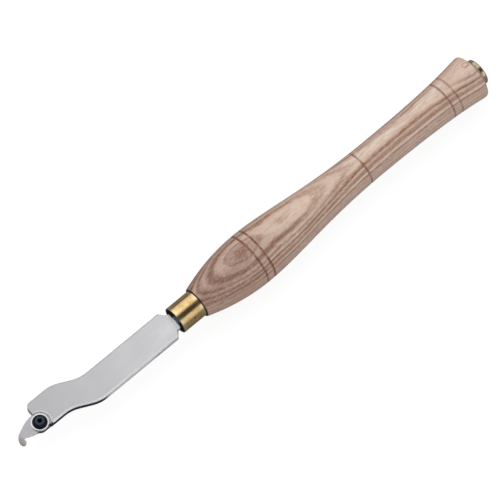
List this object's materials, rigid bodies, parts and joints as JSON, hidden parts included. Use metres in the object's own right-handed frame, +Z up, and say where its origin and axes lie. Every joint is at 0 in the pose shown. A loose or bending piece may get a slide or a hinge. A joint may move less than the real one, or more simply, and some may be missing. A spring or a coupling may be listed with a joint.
{
  "type": "hollowing tool",
  "caption": "Wood-turning hollowing tool: a cranked flat steel bar with a clamped hook cutter, a brass ferrule and a turned ash handle with a brass butt cap.",
  "frame": {"origin": "under the middle of the tool's bounding box, on the surface that its thickest place rests on", "axes": "+X along the handle and bar towards the cutter, +Y to the side that the hook turns to, +Z up, square to the bar's flat face"},
  "size_m": [0.4132, 0.0397, 0.0396],
  "materials": {
    "ash": "oiled ash with brown grain lines",
    "brass": "polished brass",
    "bar_steel": "satin ground steel",
    "cutter_steel": "ground tool steel",
    "washer_steel": "bright plated steel",
    "black_steel": "black oxide steel"
  },
  "bodies": {
    "grip_and_bar": {"handle": "ash", "ferrule": "brass", "shank": "bar_steel", "butt_cap": "brass"},
    "hook_cutter": {"cutter": "cutter_steel"},
    "clamp_washer": {"washer": "washer_steel"},
    "clamp_screw": {"cap_screw": "black_steel"}
  },
  "joints": [
    {"name": "cutter_swivel", "type": "hinge", "parent": "grip_and_bar", "child": "hook_cutter", "pos_m": [0.18757, -0.00425, 0.0198], "axis": [0, 0, 1], "range_deg": [-20, 95]},
    {"name": "clamp_lift", "type": "slide", "parent": "grip_and_bar", "child": "clamp_washer", "axis": [0, 0, 1], "range_m": [0, 0.002]},
    {"name": "screw_turn", "type": "hinge", "parent": "clamp_washer", "child": "clamp_screw", "pos_m": [0.18757, -0.00425, 0.0198], "axis": [0, 0, 1], "range_deg": [0, 905]}
  ],
  "couplings": [
    {"joint": "screw_turn", "follows": "clamp_lift", "rad_per_m": 7854}
  ]
}
